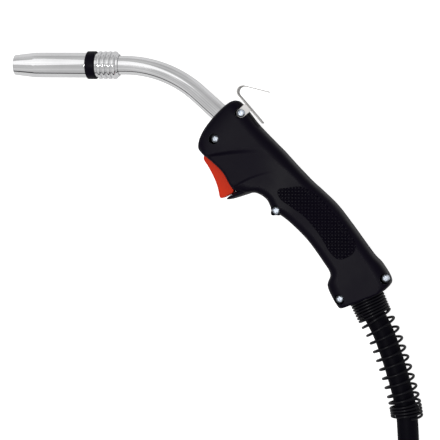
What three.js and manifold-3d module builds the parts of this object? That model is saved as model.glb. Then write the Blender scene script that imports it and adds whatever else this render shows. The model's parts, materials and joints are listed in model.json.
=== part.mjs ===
// A gas-cooled MIG welding torch lying on its side, with its cable wound into a coil beside it.
// Millimetres, +Z up. X runs from the nozzle towards the cable, Y towards the back of the handle.
// Every piece is drawn round the torch's plane of symmetry, z = 0; the whole torch is then lifted
// so that the handle's side rests on the surface.
import * as THREE from 'three';
import { mergeVertices } from 'three/addons/utils/BufferGeometryUtils.js';
import Module from 'manifold-3d';

const wasm = await Module();
wasm.setup();

// ---- driving dimensions ---------------------------------------------------------------------
const GAP = 0.3;                 // clearance between pieces that touch
const HALF = 19.5;               // half the handle's thickness
const WALL = 2.8;                // handle shell
const SQUARE = 3.4;              // superellipse power of the handle's section
const NECK_R = 9.0;              // neck tube, outer radius
const NECK_BEND_R = 110;         // bend of the swan neck
const NECK_FRONT = 0.7;          // slope of the neck's front end, degrees below level
const NECK_REAR = 42;            // slope where it enters the handle, degrees
const NECK_START = new THREE.Vector2(-92.3, 147.4);
const NECK_INSIDE = 34;          // straight length from the bend to the end in the handle
const NOZZLE_R = 12.0;
const NOZZLE_TIP_R = 9.7;
const CABLE_R = 10;
const SPRING_R = 17.1;           // strain relief spring, outer radius in the handle's mouth
const SPRING_END_R = 15.3;       // and at its far end
const SPRING_WIRE_R = 1.25;
const COIL = new THREE.Vector2(49, -365);
const COIL_R = 120;              // middle of the coil's turns
const TIE_THICK = 1.5;
const PLUG = new THREE.Vector2(-148, -385);   // rear end of the cable connector
const PLUG_Z = 21;               // its axis above the surface
const FLOOR = -HALF;

// ---- finishes -------------------------------------------------------------------------------
const finish = (color, roughness, metalness) =>
  new THREE.MeshStandardMaterial({ color, roughness, metalness });
const BLACK = finish('#1b1b1d', 0.45, 0);
const ORANGE = finish('#d8472c', 0.45, 0);
const CHROME = finish('#d8dadb', 0.12, 1);
const STEEL = finish('#b9bbbd', 0.35, 1);
const BRASS = finish('#c9a24a', 0.3, 1);
const COPPER = finish('#b9643c', 0.3, 1);
const RUBBER = finish('#151516', 0.75, 0);
const NYLON = finish('#ddd9cf', 0.5, 0);

// ---- tree -----------------------------------------------------------------------------------
const model = new THREE.Group();
const group = (parent, x, y, z, turn = 0) => {
  const made = new THREE.Group();
  made.position.set(x, y, z);
  made.rotation.z = turn;
  parent.add(made);
  return made;
};
const torch = group(model, 0, 0, 0);
const cord = group(model, 0, 0, 0);

function piece(parent, name, geometry, material) {
  const mesh = new THREE.Mesh(geometry, material);
  mesh.name = name;
  parent.add(mesh);
  return mesh;
}

// ---- solids ---------------------------------------------------------------------------------
function toSolid(geometry) {
  const bare = geometry.clone();
  for (const key of Object.keys(bare.attributes)) if (key !== 'position') bare.deleteAttribute(key);
  const merged = mergeVertices(bare, 1e-4);
  return new wasm.Manifold(new wasm.Mesh({
    numProp: 3,
    vertProperties: new Float32Array(merged.attributes.position.array),
    triVerts: new Uint32Array(merged.index.array),
  }));
}

function fromSolid(solid) {
  const mesh = solid.getMesh();
  const geometry = new THREE.BufferGeometry();
  geometry.setAttribute('position', new THREE.BufferAttribute(mesh.vertProperties, 3));
  geometry.setIndex(new THREE.BufferAttribute(mesh.triVerts, 1));
  geometry.computeVertexNormals();
  return geometry;
}

// A disc or a peg along Z between two heights.
function post(x, y, radius, low, high, sides = 12) {
  return new THREE.CylinderGeometry(radius, radius, high - low, sides)
    .rotateX(Math.PI / 2).translate(x, y, (low + high) / 2);
}

// A flat outline raised between two heights.
function slab(points, low, high) {
  const shape = points instanceof THREE.Shape
    ? points : new THREE.Shape(points.map(([x, y]) => new THREE.Vector2(x, y)));
  return new THREE.ExtrudeGeometry(shape, {
    depth: high - low, bevelEnabled: false, curveSegments: 10,
  }).translate(0, 0, low);
}

// A turned piece about Y: profile points are [radius, y].
function turned(profile, sides = 20) {
  const points = profile.map(([r, y]) => new THREE.Vector2(r, y));
  return new THREE.LatheGeometry(points, sides);
}

// A turned ring: the closed outline of one side of its section.
const ring = (profile, sides) => turned([...profile, profile[0]], sides);

// A round rod from one point to another.
function rod(from, to, radius, sides = 20) {
  const along = to.clone().sub(from);
  const geometry = new THREE.CylinderGeometry(radius, radius, along.length(), sides);
  const turn = new THREE.Quaternion().setFromUnitVectors(
    new THREE.Vector3(0, 1, 0), along.clone().normalize());
  geometry.applyQuaternion(turn);
  const middle = from.clone().add(to).multiplyScalar(0.5);
  return geometry.translate(middle.x, middle.y, middle.z);
}

// A round bar or tube swept along a curve.
function swept(curve, outer, inner, steps, sides) {
  const circle = (radius) => {
    const corners = [];
    for (let i = 0; i < sides; i += 1) {
      const angle = (2 * Math.PI * i) / sides;
      corners.push(new THREE.Vector2(radius * Math.cos(angle), radius * Math.sin(angle)));
    }
    return corners;
  };
  const shape = new THREE.Shape(circle(outer));
  if (inner > 0) shape.holes.push(new THREE.Path(circle(inner)));
  return new THREE.ExtrudeGeometry(shape, { steps, extrudePath: curve, bevelEnabled: false });
}

// A closed skin over a row of rings with equal numbers of corners, ends capped.
function lofted(rings) {
  const corners = rings[0].length;
  const vertices = rings.flat();
  const middle = (row) => row.reduce((sum, p) => sum.add(p), new THREE.Vector3())
    .multiplyScalar(1 / corners);
  const first = vertices.push(middle(rings[0])) - 1;
  const last = vertices.push(middle(rings.at(-1))) - 1;
  const faces = [];
  for (let row = 0; row < rings.length - 1; row += 1) {
    for (let i = 0; i < corners; i += 1) {
      const a = row * corners + i;
      const b = row * corners + ((i + 1) % corners);
      faces.push(a, b, b + corners, a, b + corners, a + corners);
    }
  }
  const end = (rings.length - 1) * corners;
  for (let i = 0; i < corners; i += 1) {
    const j = (i + 1) % corners;
    faces.push(first, j, i, last, end + i, end + j);
  }
  const geometry = new THREE.BufferGeometry();
  geometry.setAttribute('position', new THREE.Float32BufferAttribute(
    vertices.flatMap((p) => [p.x, p.y, p.z]), 3));
  geometry.setIndex(faces);
  return geometry;
}

// ---- swan neck ------------------------------------------------------------------------------
const heading = (degrees) => new THREE.Vector2(
  Math.cos(THREE.MathUtils.degToRad(degrees)), -Math.sin(THREE.MathUtils.degToRad(degrees)));

// Straight, then one bend, then straight into the handle; s is the distance from the bend's start.
const BEND_LENGTH = NECK_BEND_R * THREE.MathUtils.degToRad(NECK_REAR - NECK_FRONT);
function neckPoint(s) {
  const bent = THREE.MathUtils.clamp(s, 0, BEND_LENGTH) / NECK_BEND_R;
  const slope = THREE.MathUtils.degToRad(NECK_FRONT) + bent;
  const start = THREE.MathUtils.degToRad(NECK_FRONT);
  const spot = new THREE.Vector2(
    NECK_START.x + NECK_BEND_R * (Math.sin(slope) - Math.sin(start)),
    NECK_START.y - NECK_BEND_R * (Math.cos(start) - Math.cos(slope)));
  if (s < 0) spot.addScaledVector(heading(NECK_FRONT), s);
  if (s > BEND_LENGTH) spot.addScaledVector(heading(NECK_REAR), s - BEND_LENGTH);
  return new THREE.Vector3(spot.x, spot.y, 0);
}

class NeckCurve extends THREE.Curve {
  constructor(from, to) {
    super();
    this.from = from;
    this.to = to;
  }

  getPoint(t, target = new THREE.Vector3()) {
    return target.copy(neckPoint(THREE.MathUtils.lerp(this.from, this.to, t)));
  }
}

function addNeck() {
  const end = BEND_LENGTH + NECK_INSIDE;
  const steps = 9;
  piece(torch, 'neck_outer_tube', swept(new NeckCurve(-18, end), NECK_R, 7.8, steps, 18), CHROME);
  piece(torch, 'neck_insulating_sleeve', swept(new NeckCurve(-18, end), 7.2, 6.3, steps, 12), NYLON);
  piece(torch, 'neck_conductor_tube', swept(new NeckCurve(-18, end), 5.7, 3.3, steps, 10), COPPER);
  piece(torch, 'wire_liner', swept(new NeckCurve(-60, end + 8), 2.2, 0.9, steps, 6), STEEL);
  const at = (s) => neckPoint(end + s);
  let block = toSolid(rod(at(GAP), at(24), 8, 24));
  block = block.subtract(toSolid(rod(at(-1), at(10), 3.3, 12)));
  piece(torch, 'neck_block', fromSolid(block), BRASS);
}

// ---- front end, turned about the neck's front axis; y is the distance ahead of the bend ----------
const COLLAR = { rear: 5.4, shoulder: 7.4, front: 27.6, radius: 13.3, groove: 11.6, pitch: 5.0, ribs: 4 };
const RING = { rear: 27.9, front: 36.5, radius: 13.4 };
const NOZZLE = { rear: 36.8, taper: 88.5, front: 109.4 };

function addFrontEnd() {
  const front = group(torch, NECK_START.x, NECK_START.y, 0,
    THREE.MathUtils.degToRad(90 - NECK_FRONT));

  const ribbed = [[9.4, COLLAR.rear], [10.85, COLLAR.rear], [10.85, COLLAR.shoulder]];
  for (let i = 0; i < COLLAR.ribs; i += 1) {
    const y = COLLAR.shoulder + 0.4 + i * COLLAR.pitch;
    ribbed.push([COLLAR.groove, y], [COLLAR.radius, y + 0.5],
      [COLLAR.radius, y + 3.7], [COLLAR.groove, y + 4.2]);
  }
  ribbed.push([COLLAR.groove, COLLAR.front], [9.4, COLLAR.front]);
  piece(front, 'finned_collar', ring(ribbed, 20), CHROME);

  piece(front, 'nozzle_insulator', ring([
    [8.2, RING.rear], [12.9, RING.rear], [RING.radius, RING.rear + 0.5],
    [RING.radius, RING.front - 0.5], [12.9, RING.front], [10.2, RING.front],
    [10.2, RING.front + 18], [8.2, RING.front + 18]], 24), BLACK);

  piece(front, 'gas_nozzle', ring([
    [10.6, NOZZLE.rear], [NOZZLE_R - 0.3, NOZZLE.rear], [NOZZLE_R, NOZZLE.rear + 0.4],
    [NOZZLE_R, NOZZLE.taper], [NOZZLE_TIP_R, NOZZLE.front - 0.4], [NOZZLE_TIP_R - 0.3, NOZZLE.front],
    [8.1, NOZZLE.front], [8.1, NOZZLE.front - 16], [10.6, NOZZLE.taper - 8]], 28), CHROME);

  // The diffuser screws on to the neck's conductor; four cross holes let the gas out round the tip.
  let diffuser = toSolid(ring([
    [2.6, 18.6], [7.4, 18.6], [7.4, 61], [6.2, 65], [2.6, 65]], 24));
  for (let i = 0; i < 2; i += 1) {
    const hole = new THREE.CylinderGeometry(1.1, 1.1, 20, 10)
      .rotateX(Math.PI / 2).rotateY((i * Math.PI) / 2 + Math.PI / 4).translate(0, 60, 0);
    diffuser = diffuser.subtract(toSolid(hole));
  }
  piece(front, 'gas_diffuser', fromSolid(diffuser), BRASS);
  piece(front, 'tip_holder', ring([[2.6, 65.3], [5.4, 65.3], [5.4, 76], [4.6, 78], [2.6, 78]], 6), BRASS);
  piece(front, 'contact_tip', ring([
    [0.6, 78.3], [4.0, 78.3], [4.0, 97], [2.9, 104], [0.6, 104]], 16), COPPER);
}

// ---- handle ---------------------------------------------------------------------------------
// Each station of the handle joins a point on its back edge to one on its front edge.
const STATIONS = [
  [[15.6, 115.4], [-20, 67]], [[24, 107], [-14, 62]], [[37, 90.5], [3.5, 46.6]], [[52, 75], [14, 30]],
  [[62, 65], [24, 25.5]], [[72, 54], [36, 26]], [[81, 44.5], [46, 20]], [[89, 36.5], [52, 9]],
  [[98, 28.5], [59, 5.5]], [[112, 15], [70, -3]], [[126, -3], [85, -18]], [[138, -19.5], [99, -37]],
  [[147, -31.5], [106, -49]], [[155, -40], [103.5, -60]], [[163, -55], [109, -73]], [[157, -64], [115, -82]],
];
const edge = (side) => new THREE.CatmullRomCurve3(
  STATIONS.map((pair) => new THREE.Vector3(...pair[side], 0)), false, 'centripetal');
const BACK_EDGE = edge(0);
const FRONT_EDGE = edge(1);

// The front end swells towards the neck: its reach, and the share of the handle that it fades over.
const SWELL = { reach: 6.8, fade: 0.2 };

function handleRing(t, inset, corners) {
  const back = BACK_EDGE.getPoint(t);
  const across = back.clone().sub(FRONT_EDGE.getPoint(t));
  const halfWidth = across.length() / 2 - inset;
  const centre = back.addScaledVector(across, -0.5);
  across.normalize();
  const nose = Math.max(0, 1 - t / 0.09);
  const halfThick = HALF - 2.5 * nose * nose - inset;
  const bulge = (value) => Math.sign(value) * Math.abs(value) ** (2 / SQUARE);
  const ahead = new THREE.Vector3(-across.y, across.x, 0);
  const swell = SWELL.reach * Math.max(0, 1 - t / SWELL.fade) ** 2;
  const corner = [];
  for (let i = 0; i < corners; i += 1) {
    const angle = (2 * Math.PI * i) / corners;
    const place = bulge(Math.cos(angle));                    // -1 at the front edge, 1 at the back
    const point = centre.clone().addScaledVector(across, halfWidth * place)
      .addScaledVector(ahead, swell * Math.max(0, 1 - place * place) ** 0.6 * (1 - 0.3 * place));
    point.z = THREE.MathUtils.clamp(1.06 * halfThick * bulge(Math.sin(angle)), -halfThick, halfThick);
    corner.push(point);
  }
  return corner;
}

function handleSkin(from, to, inset, rows, corners) {
  const rings = [];
  for (let row = 0; row <= rows; row += 1) {
    rings.push(handleRing(THREE.MathUtils.lerp(from, to, row / rows), inset, corners));
  }
  return toSolid(lofted(rings));
}

const SCREWS = [[22.2, 100.9], [-2.8, 76.9], [55.2, 9.9], [115.4, -72.3], [157.8, -52.3]];
const SCREW = { head: 3.8, headLow: 8.4, headHigh: 11.0, shank: 1.6, tip: -13, bore: 2.0 };
const PIVOT = new THREE.Vector2(-6, 66);
const SWITCH = new THREE.Vector2(15.6, 50.6);
const SWITCH_TURN = Math.atan2(0.545, 0.838);      // the plunger's direction, from the trigger inwards
const REAR = new THREE.Vector3(139.5, -71.3, 0);   // middle of the handle's rear face
const REAR_OUT = new THREE.Vector3(0.405, -0.914, 0);
const EAR = { low: 11.3, high: 12.3, half: 4.2 };   // hook's ear, on the handle under the first screw
const HOOK_FROM = new THREE.Vector2(41.2, 91.8);
const HOOK_RUN = new THREE.Vector2(-0.652, 0.758);

// A tongue round the first screw, running out past the handle's back edge by its reach.
const HOOK_OUT = new THREE.Vector2(HOOK_RUN.y, -HOOK_RUN.x);
function tongue(half, reach, low, high) {
  const [x, y] = SCREWS[0];
  const shape = new THREE.Shape();
  shape.absarc(0, 0, half, Math.PI / 2, 1.5 * Math.PI);
  shape.lineTo(reach, -half);
  shape.lineTo(reach, half);
  shape.closePath();
  return new THREE.ExtrudeGeometry(shape, { depth: high - low, bevelEnabled: false, curveSegments: 8 })
    .rotateZ(Math.atan2(HOOK_OUT.y, HOOK_OUT.x)).translate(x, y, low);
}

function handleSolid() {
  let body = handleSkin(0, 1, 0, 22, 16);
  const skin = body;
  body = body.subtract(handleSkin(0.045, 0.975, WALL, 13, 12));
  const guard = slab([[7, 20], [9, 18.6], [18, 22.3], [28, 25], [22, 33], [13, 27]], -14, 14);
  body = body.add(toSolid(guard));
  for (const [x, y] of SCREWS) {
    body = body.add(toSolid(post(x, y, 5.6, -HALF, HALF)).intersect(skin));
  }
  body = body.add(toSolid(post(PIVOT.x, PIVOT.y, 4.2, -HALF, HALF)).intersect(skin));
  const rib = new THREE.BoxGeometry(8, 16, 2 * HALF - 1).rotateZ(SWITCH_TURN)
    .translate(SWITCH.x + 2, SWITCH.y + 1.3, 0);
  body = body.add(toSolid(rib).intersect(skin));

  for (const [x, y] of SCREWS) {
    body = body.subtract(toSolid(post(x, y, SCREW.bore, -HALF + 4, HALF + 1, 12)));
    body = body.subtract(toSolid(post(x, y, 4.9, SCREW.headLow - GAP, HALF + 1)));
  }
  const end = BEND_LENGTH + NECK_INSIDE;
  body = body.subtract(toSolid(rod(neckPoint(BEND_LENGTH), neckPoint(end + 26), NECK_R + 0.35, 24)));
  body = body.subtract(toSolid(rod(REAR.clone().addScaledVector(REAR_OUT, -14),
    REAR.clone().addScaledVector(REAR_OUT, 14), SPRING_R + 0.5, 24)));
  body = body.subtract(toSolid(slab([
    [-26, 57], [-17, 61.5], [-11, 71], [1, 72], [6, 62], [14, 50], [22, 35], [18, 25.2], [10, 20.6],
    [0, 15]], -8.2, 8.2)));
  body = body.subtract(toSolid(new THREE.BoxGeometry(20, 22, 13).rotateZ(SWITCH_TURN)
    .translate(SWITCH.x, SWITCH.y, 0)));
  body = body.subtract(toSolid(post(PIVOT.x, PIVOT.y, 1.8, -HALF + 4, HALF - 4, 12)));
  return body.subtract(toSolid(tongue(EAR.half + 0.7, 20, EAR.low - GAP, HALF + 1)));
}

function addHandle() {
  const body = handleSolid();
  const half = (side) => {
    const box = new THREE.BoxGeometry(400, 400, 60).translate(60, 0, side * (30 + GAP / 2));
    const parts = body.intersect(toSolid(box)).decompose();
    return fromSolid(parts.sort((a, b) => b.volume() - a.volume())[0]);
  };
  piece(torch, 'handle_left_shell', half(1), BLACK);
  piece(torch, 'handle_right_shell', half(-1), BLACK);
  SCREWS.forEach(([x, y], i) => {
    const raised = i === 0 ? EAR.high + GAP - SCREW.headLow : 0;   // the first screw holds the hook's ear
    const low = SCREW.headLow + raised;
    const screw = turned([[0, SCREW.tip], [SCREW.shank, SCREW.tip + 1.5], [SCREW.shank, low],
      [SCREW.head, low], [SCREW.head, low + 1.4], [SCREW.head - 1, low + 2.4],
      [0, low + 2.6]], 16).rotateX(Math.PI / 2).translate(x, y, 0);
    piece(torch, `handle_screw_${i + 1}`, screw, STEEL);
  });
}

// ---- hanging hook: one bent strip, with an ear that the first screw holds -----------------------
function addHook() {
  const thick = 1.0;
  const vertex = new THREE.Vector2(7.6, 130.9);
  const tipPoint = new THREE.Vector2(46.8, 120.9);
  const radius = 5.4;
  const out = tipPoint.clone().sub(vertex).normalize();
  const inwards = HOOK_RUN.clone().negate();
  const half = Math.acos(inwards.dot(out)) / 2;
  const bisector = inwards.clone().add(out).normalize();
  const centre = vertex.clone().addScaledVector(bisector, radius / Math.sin(half));
  const spots = [HOOK_FROM.clone()];
  const first = new THREE.Vector2(-HOOK_RUN.y, HOOK_RUN.x);
  const from = Math.atan2(first.y, first.x);
  const sweep = Math.PI - 2 * half;
  for (let i = 0; i <= 12; i += 1) {
    const angle = from - (sweep * i) / 12;
    spots.push(new THREE.Vector2(centre.x + radius * Math.cos(angle), centre.y + radius * Math.sin(angle)));
  }
  spots.push(tipPoint);
  const offset = (distance) => spots.map((spot, i) => {
    const before = spots[Math.max(0, i - 1)];
    const after = spots[Math.min(spots.length - 1, i + 1)];
    const run = after.clone().sub(before).normalize();
    return [spot.x - run.y * distance, spot.y + run.x * distance];
  });
  const outline = [...offset(thick / 2), ...offset(-thick / 2).reverse()];
  let hook = toSolid(slab(outline, -7, 7));

  // The ear's upright stands on the strip beside the screw and its flat lies on the handle.
  const [sx, sy] = SCREWS[0];
  const reach = new THREE.Vector2(HOOK_FROM.x - sx, HOOK_FROM.y - sy).dot(HOOK_OUT);
  const ear = tongue(EAR.half, reach + thick / 2, EAR.low, EAR.high);
  const upright = new THREE.BoxGeometry(thick, 2 * EAR.half, EAR.high).translate(reach, 0, EAR.high / 2)
    .rotateZ(Math.atan2(HOOK_OUT.y, HOOK_OUT.x)).translate(sx, sy, 0);
  hook = hook.add(toSolid(upright)).add(toSolid(ear));
  hook = hook.subtract(toSolid(post(sx, sy, SCREW.bore, 0, 20, 12)));
  piece(torch, 'hanging_hook', fromSolid(hook), CHROME);
}

// ---- trigger and switch ---------------------------------------------------------------------
function addTrigger() {
  const shape = new THREE.Shape();
  shape.moveTo(-14.2, 60.8);
  shape.splineThru([[-14.5, 58.3], [-13.2, 55.9], [-10.1, 51.9], [-6.6, 46], [-3.2, 39], [-0.8, 32.5],
    [0.6, 25.9]].map(([x, y]) => new THREE.Vector2(x, y)));
  shape.quadraticCurveTo(1.6, 20.4, 6, 22.2);
  shape.lineTo(11.4, 24.9);
  shape.quadraticCurveTo(15.2, 27, 14, 31);
  shape.lineTo(7.8, 42);
  shape.lineTo(0, 54);
  shape.lineTo(-1.9, 65);
  shape.absarc(PIVOT.x, PIVOT.y, 4, 0, 0.75 * Math.PI, false);
  shape.lineTo(-12, 63.4);
  shape.closePath();
  let trigger = toSolid(slab(shape, -7.5, 7.5));
  trigger = trigger.subtract(toSolid(post(PIVOT.x, PIVOT.y, 1.85, -10, 10, 12)));
  const hollow = slab([[-8, 56], [-1.5, 42], [2.5, 30], [5, 27], [20, 34], [10, 60], [-1, 58]], -5, 5);
  const wall = slab([[2, 51], [5.6, 45.5], [9.6, 39], [5, 36], [-2, 48]], -5.2, 5.2);
  trigger = trigger.subtract(toSolid(hollow).subtract(toSolid(wall)));
  piece(torch, 'trigger', fromSolid(trigger), ORANGE);
  piece(torch, 'trigger_pivot_pin', post(PIVOT.x, PIVOT.y, 1.5, -14, 14, 16), STEEL);
}

function addSwitch() {
  const place = group(torch, SWITCH.x, SWITCH.y, 0, SWITCH_TURN);
  const bore = new THREE.CylinderGeometry(2, 2, 10, 14).rotateZ(Math.PI / 2).translate(-4, 0, 0);
  const body = toSolid(new THREE.BoxGeometry(10, 20, 11)).subtract(toSolid(bore));
  piece(place, 'switch_body', fromSolid(body), BLACK);
  const plunger = new THREE.CylinderGeometry(1.6, 1.6, 5.0, 14).rotateZ(Math.PI / 2)
    .translate(-4.6, 0, 0);
  piece(place, 'switch_plunger', plunger, NYLON);
  for (const side of [-1, 1]) {
    const name = side < 0 ? 'switch_wire_1' : 'switch_wire_2';
    const route = new THREE.CatmullRomCurve3([
      [5.3, 6 * side, 0], [9, 6 * side, 0], [14, 4 * side, 0], [18.5, 3 * side, 0],
    ].map((p) => new THREE.Vector3(...p)));
    piece(place, name, swept(route, 1.0, 0, 8, 8), side < 0 ? RUBBER : NYLON);
  }
}

// ---- cable inside the handle and its strain relief ------------------------------------------------
const onFloor = (x, y, height) => new THREE.Vector3(x, y, FLOOR + height);

// The free cable where it is not coiled, heights above the surface.
const LEAD_IN = [
  [136.7, -65.0, 19.5], [140.0, -72.6, 19.5], [146.4, -86.8, 19.4], [154.9, -103.5, 19.0],
  [161.3, -120.6, 18.4], [166.5, -136.5, 17.9], [171.1, -152.4, 17.4], [174.8, -167.0, 17.0],
  [177.3, -181.0, 16.6], [178.6, -200.0, 15.2], [179.4, -225.0, 12.8], [179.5, -255.0, 11.8],
  [179.1, -275.0, 11.8], [179.0, -290.7, 11.8],
];
const LEAD_OUT = [
  [-41.0, -485.0, 26.8], [-52.0, -484.9, 24.9], [-65.4, -483.5, 22.0], [-82.2, -479.0, 18.2],
  [-98.0, -471.6, 14.9], [-112.3, -461.6, 12.2], [-124.6, -449.3, 10.7], [-134.6, -435.0, 10.2],
  [-141.9, -420.0, 12.0], [-146.2, -405.0, 17.4], [-147.8, -393.0, 20.7], [-148.0, -385.8, 21.0],
];

class SpringCurve extends THREE.Curve {
  // Close turns in the handle's end, open turns down the cable, close turns at the far end.
  constructor(axis) {
    super();
    this.axis = axis;
    this.zones = [[9.5, 2.75], [8.6, 9.1], [1.6, 6.2], [4, 2.75]];      // turns and pitch
    this.turns = this.zones.reduce((sum, [n]) => sum + n, 0);
    this.length = this.zones.reduce((sum, [n, pitch]) => sum + n * pitch, 0);
    this.total = axis.getLength();
  }

  advance(turn) {
    let left = turn;
    let along = 0;
    for (const [count, pitch] of this.zones) {
      const part = Math.min(left, count);
      along += part * pitch;
      left -= part;
    }
    return along;
  }

  getPoint(t, target = new THREE.Vector3()) {
    const turn = t * this.turns;
    const along = this.advance(turn);
    const u = along / this.total;
    const narrowing = (1 - along / this.length) ** 2;
    const radius = THREE.MathUtils.lerp(SPRING_END_R, SPRING_R, narrowing) - SPRING_WIRE_R;
    const centre = this.axis.getPointAt(Math.min(u, 1));
    const run = this.axis.getTangentAt(Math.min(u, 1));
    const side = new THREE.Vector3(run.y, -run.x, 0).normalize();
    const up = side.clone().cross(run);
    const angle = 2 * Math.PI * turn;
    return target.copy(centre)
      .addScaledVector(side, radius * Math.cos(angle))
      .addScaledVector(up, -radius * Math.sin(angle));
  }
}

function addInnerCable() {
  const start = neckPoint(BEND_LENGTH + NECK_INSIDE + 24 + GAP);
  const route = new THREE.CatmullRomCurve3([
    start, new THREE.Vector3(52, 53, 0), new THREE.Vector3(78, 24, 0), new THREE.Vector3(106, -12, 0),
    new THREE.Vector3(126, -42, 0), REAR.clone().addScaledVector(REAR_OUT, -8),
  ]);
  piece(torch, 'inner_cable', swept(route, 6.5, 0, 12, 12), RUBBER);
}

function addStrainRelief() {
  const axis = new THREE.CatmullRomCurve3(LEAD_IN.slice(0, 10).map((p) => onFloor(...p)));
  const coil = new SpringCurve(axis);
  const steps = Math.round(coil.turns * 10);
  piece(torch, 'strain_relief_spring', swept(coil, SPRING_WIRE_R, 0, steps, 5), RUBBER);
  const seat = ring([[10.4, 0], [13.0, 0], [13.0, 12], [10.4, 12]], 24);
  const turn = new THREE.Quaternion().setFromUnitVectors(new THREE.Vector3(0, 1, 0), REAR_OUT);
  const start = REAR.clone().addScaledVector(REAR_OUT, -6.5);
  seat.applyQuaternion(turn).translate(start.x, start.y, start.z);
  piece(torch, 'spring_seat', seat, BLACK);
}

function addCable() {
  const curve = (points) => new THREE.CatmullRomCurve3(points.map((p) => onFloor(...p)));
  piece(cord, 'cable_lead_in', swept(curve(LEAD_IN), CABLE_R, 0, 14, 12), RUBBER);
  piece(cord, 'cable_lead_out', swept(curve(LEAD_OUT), CABLE_R, 0, 9, 12), RUBBER);
  const low = TIE_THICK + GAP;
  const wound = ring([
    [COIL_R - 20, low], [COIL_R + 20, low], [COIL_R + 20, low + 20], [COIL_R + 10, low + 37.3],
    [COIL_R - 10, low + 37.3], [COIL_R - 20, low + 20]], 40).rotateX(Math.PI / 2);
  wound.translate(COIL.x, COIL.y, FLOOR);
  piece(cord, 'cable_coil', wound, RUBBER);
  [75, 165, 310].forEach((angle, i) => {
    const outline = new THREE.Shape([[-22, 0], [22, 0], [22, 22.5], [11.5, 40.8], [-11.5, 40.8], [-22, 22.5]]
      .map(([x, y]) => new THREE.Vector2(x, y)));
    outline.holes.push(new THREE.Path([[-20.5, 1.5], [20.5, 1.5], [20.5, 22.1], [10.6, 39.4],
      [-10.6, 39.4], [-20.5, 22.1]].map(([x, y]) => new THREE.Vector2(x, y))));
    const strap = new THREE.ExtrudeGeometry(outline, { depth: 14, bevelEnabled: false })
      .rotateX(Math.PI / 2).translate(COIL_R, 7, 0);
    const place = group(cord, COIL.x, COIL.y, FLOOR, THREE.MathUtils.degToRad(angle));
    piece(place, `coil_tie_${i + 1}`, strap, BLACK);
  });
}

// ---- connector on the cable's far end, turned about Y --------------------------------------------
function addConnector() {
  const plug = group(cord, PLUG.x, PLUG.y, FLOOR + PLUG_Z);
  piece(plug, 'connector_boot', turned([[0, GAP], [11.5, GAP], [13, 3], [15.2, 42], [0, 42]], 20), RUBBER);
  piece(plug, 'connector_housing', ring([
    [13.0, 42.3], [15.4, 42.3], [17.5, 50], [19.8, 62], [20.8, 84], [20.8, 103],
    [18.6, 103], [18.6, 62], [13.0, 58]], 20), BLACK);
  piece(plug, 'connector_core', turned([
    [0, 44], [12.4, 44], [12.4, 103.4], [17.0, 103.4], [17.0, 107.4], [12.4, 107.4],
    [12.4, 118], [0, 118]], 20), BRASS);
  piece(plug, 'connector_nut', ring([
    [12.9, 107.9], [19.6, 107.9], [20.6, 109], [20.6, 130.5], [20.0, 131.5], [17.4, 131.5],
    [17.4, 111], [12.9, 111]], 20), BLACK);
  let face = toSolid(ring([[5.9, 118.3], [16.4, 118.3], [16.4, 124], [5.9, 124]], 20));
  for (const side of [-1, 1]) {
    const hole = new THREE.CylinderGeometry(2.4, 2.4, 10, 12).translate(side * 11, 121, 0);
    face = face.subtract(toSolid(hole));
  }
  piece(plug, 'connector_face', fromSolid(face), BLACK);
  piece(plug, 'gas_and_wire_pin', ring([
    [2.4, 118.3], [5.5, 118.3], [5.5, 141.2], [4.2, 141.4], [4.2, 143.8], [5.5, 144],
    [5.5, 148], [4.6, 149], [2.4, 149]], 14), BRASS);
  const seal = new THREE.TorusGeometry(5.3, 0.8, 5, 14).rotateX(Math.PI / 2).translate(0, 142.6, 0);
  piece(plug, 'pin_seal_ring', seal, RUBBER);
  for (const side of [-1, 1]) {
    const pin = turned([[0, 120.8], [1.9, 120.8], [1.9, 132], [1.2, 133.5], [0, 133.8]], 14)
      .translate(side * 11, 0, 0);
    piece(plug, side < 0 ? 'signal_pin_1' : 'signal_pin_2', pin, BRASS);
  }
}

addNeck();
addFrontEnd();
addHandle();
addHook();
addTrigger();
addSwitch();
addInnerCable();
addStrainRelief();
addCable();
addConnector();

// The origin is under the middle of the torch itself, on the surface; the cable lies round it.
model.updateMatrixWorld(true);
const bounds = new THREE.Box3().setFromObject(torch);
const middle = bounds.getCenter(new THREE.Vector3());
model.position.set(-middle.x, -middle.y, HALF);

export default model;
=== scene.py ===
"""A MIG welding torch lying on its side in a plain studio, seen from above its handle.

Lengths are in millimetres in the torch's own frame: X runs from the nozzle to the cable, Y to the back
of the handle, and z = 0 is the torch's plane of symmetry. placed() turns them into the frame's metres.
"""
import json
import math

import bmesh
import bpy
import numpy as np
from mathutils import Matrix, Vector


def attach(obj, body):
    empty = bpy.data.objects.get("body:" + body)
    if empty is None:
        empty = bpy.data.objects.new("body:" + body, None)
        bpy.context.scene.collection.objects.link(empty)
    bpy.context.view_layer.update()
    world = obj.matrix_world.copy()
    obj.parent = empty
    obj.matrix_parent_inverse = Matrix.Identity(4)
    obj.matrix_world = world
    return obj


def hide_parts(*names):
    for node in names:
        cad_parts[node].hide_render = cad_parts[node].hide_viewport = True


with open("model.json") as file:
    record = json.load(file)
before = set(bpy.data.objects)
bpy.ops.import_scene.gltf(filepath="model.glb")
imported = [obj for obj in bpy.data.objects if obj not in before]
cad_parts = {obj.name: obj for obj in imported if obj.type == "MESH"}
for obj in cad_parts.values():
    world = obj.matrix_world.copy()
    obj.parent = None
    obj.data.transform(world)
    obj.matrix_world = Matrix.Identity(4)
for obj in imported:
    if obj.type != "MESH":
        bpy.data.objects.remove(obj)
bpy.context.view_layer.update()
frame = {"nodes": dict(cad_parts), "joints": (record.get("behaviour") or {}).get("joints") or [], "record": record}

MM = 0.001
HALF = 19.5                                    # half the handle's thickness
PIVOT = np.array([-6.0, 66.0, 0.0])            # the trigger's pin
JOINTS = {joint["name"]: joint for joint in frame["joints"]}
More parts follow.
